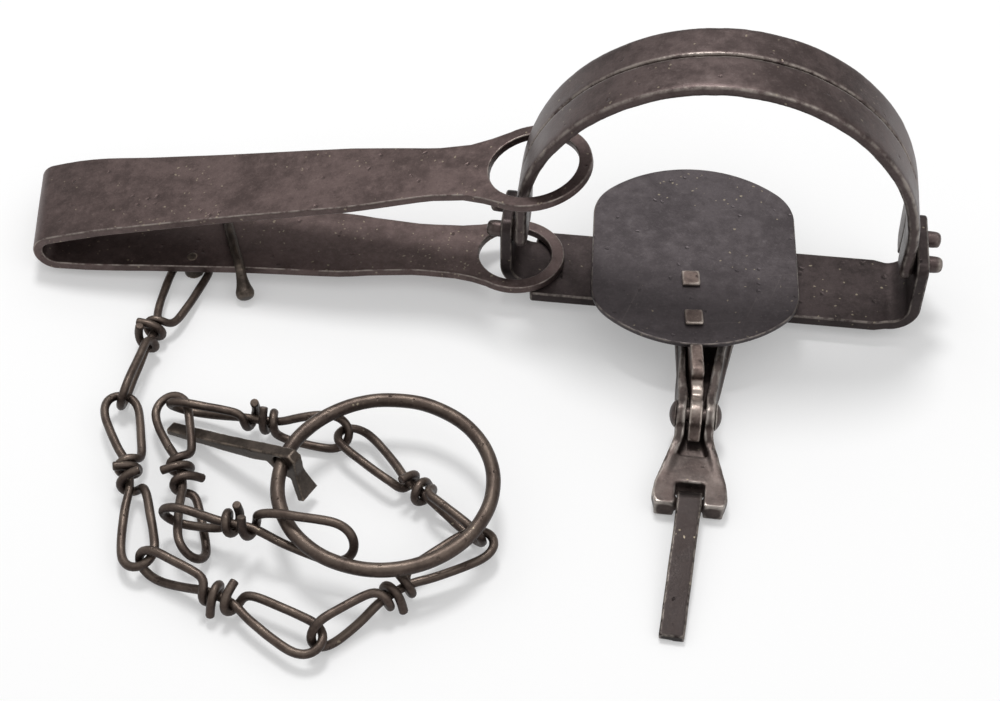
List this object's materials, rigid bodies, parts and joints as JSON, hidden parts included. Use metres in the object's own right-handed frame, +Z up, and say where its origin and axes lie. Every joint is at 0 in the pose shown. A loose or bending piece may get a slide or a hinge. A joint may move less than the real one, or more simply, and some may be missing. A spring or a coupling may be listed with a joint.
{
  "type": "leghold trap",
  "caption": "Long-spring leghold trap with arched jaws, a tilting pan and dog on a cross-arm, a wire-link chain, an anchor ring and an anchor strap.",
  "frame": {"origin": "on the floor, under the middle of the base strip, on the underside of the cross-arm", "axes": "+X along the base away from the spring, -Y towards the dog, +Z up"},
  "size_m": [0.2462, 0.1636, 0.0813],
  "materials": {
    "trap_steel": "dark brown-grey patina, worn bright on edges and corners",
    "spring_steel": "warm brown patina with paler worn edges",
    "pan_steel": "grey-brown patina with fine scratches",
    "wire_steel": "brown rust patina, rubbed paler on the wire tops"
  },
  "bodies": {
    "frame": {"base_plate": "trap_steel", "cross_arm": "trap_steel", "arm_rivets": "trap_steel", "pivot_rivet": "trap_steel", "lower_leaf": "spring_steel", "chain_clip": "wire_steel", "chain_stud": "wire_steel"},
    "spring_arm": {"upper_leaf": "spring_steel"},
    "jaw_front": {"front_jaw": "trap_steel"},
    "jaw_back": {"back_jaw": "trap_steel"},
    "pan": {"pan_plate": "pan_steel", "pan_lever": "trap_steel"},
    "dog": {"dog": "trap_steel"},
    "link_1": {"link_1": "wire_steel"},
    "link_2": {"link_2": "wire_steel"},
    "link_3": {"link_3": "wire_steel"},
    "link_4": {"link_4": "wire_steel"},
    "link_5": {"link_5": "wire_steel"},
    "link_6": {"link_6": "wire_steel"},
    "link_7": {"link_7": "wire_steel"},
    "link_8": {"link_8": "wire_steel"},
    "ring": {"anchor_ring": "wire_steel"},
    "strap": {"anchor_strap": "wire_steel"}
  },
  "joints": [
    {"name": "jaw_front_open", "type": "hinge", "parent": "frame", "child": "jaw_front", "pos_m": [0, -0.0047, 0.0222], "axis": [1, 0, 0], "range_deg": [0, 98]},
    {"name": "jaw_back_open", "type": "hinge", "parent": "frame", "child": "jaw_back", "pos_m": [0, 0.0047, 0.0222], "axis": [1, 0, 0], "range_deg": [-98, 0]},
    {"name": "spring_press", "type": "hinge", "parent": "frame", "child": "spring_arm", "pos_m": [-0.18556, 0, 0.0265], "axis": [0, 1, 0], "range_deg": [0, 11], "stiffness_Nm_per_rad": 8, "springref_deg": -8.59, "deforming": ["upper_leaf"]},
    {"name": "pan_tilt", "type": "hinge", "parent": "frame", "child": "pan", "pos_m": [-0.001, -0.0515, 0.009], "axis": [1, 0, 0], "range_deg": [0, 15]},
    {"name": "dog_swing", "type": "hinge", "parent": "frame", "child": "dog", "pos_m": [-0.001, -0.0754, 0.0034], "axis": [-1, 0, 0], "range_deg": [0, 115]},
    {"name": "link_1_swing", "type": "hinge", "parent": "frame", "child": "link_1", "pos_m": [-0.139, -0.009, 0.003], "axis": [0, 0, 1], "range_deg": [-6, 4]},
    {"name": "link_2_swing", "type": "hinge", "parent": "link_1", "child": "link_2", "pos_m": [-0.145, -0.062, 0.0056], "axis": [0, 0, 1], "range_deg": [-6, 4]},
    {"name": "link_3_swing", "type": "hinge", "parent": "link_2", "child": "link_3", "pos_m": [-0.1285, -0.108, 0.0054], "axis": [0, 0, 1], "range_deg": [-6, 1]},
    {"name": "link_4_swing", "type": "hinge", "parent": "link_3", "child": "link_4", "pos_m": [-0.084, -0.126, 0.0054], "axis": [0, 0, 1], "range_deg": [-6, 0]},
    {"name": "link_5_swing", "type": "hinge", "parent": "link_4", "child": "link_5", "pos_m": [-0.049, -0.0935, 0.0054], "axis": [0, 0, 1], "range_deg": [-6, 0]},
    {"name": "link_6_swing", "type": "hinge", "parent": "link_5", "child": "link_6", "pos_m": [-0.086, -0.065, 0.005], "axis": [0, 0, 1], "range_deg": [-3, 6]},
    {"name": "link_7_swing", "type": "hinge", "parent": "link_6", "child": "link_7", "pos_m": [-0.132, -0.062, 0.007], "axis": [0, 0, 1], "range_deg": [0, 4]},
    {"name": "link_8_swing", "type": "hinge", "parent": "link_7", "child": "link_8", "pos_m": [-0.1235, -0.097, 0.0084], "axis": [0, 0, 1], "range_deg": [-3, 1]},
    {"name": "ring_swing", "type": "hinge", "parent": "link_8", "child": "ring", "pos_m": [-0.079, -0.104, 0.0125], "axis": [0, 0, 1], "range_deg": [-1.5, 0.5]},
    {"name": "strap_swing", "type": "hinge", "parent": "ring", "child": "strap", "pos_m": [-0.09885, -0.08062, 0.0125], "axis": [0, 0, 1], "range_deg": [0, 3]}
  ],
  "couplings": [
    {"joint": "jaw_back_open", "follows": "jaw_front_open", "ratio": -1},
    {"joint": "spring_press", "follows": "jaw_front_open", "ratio": 0.1122}
  ]
}
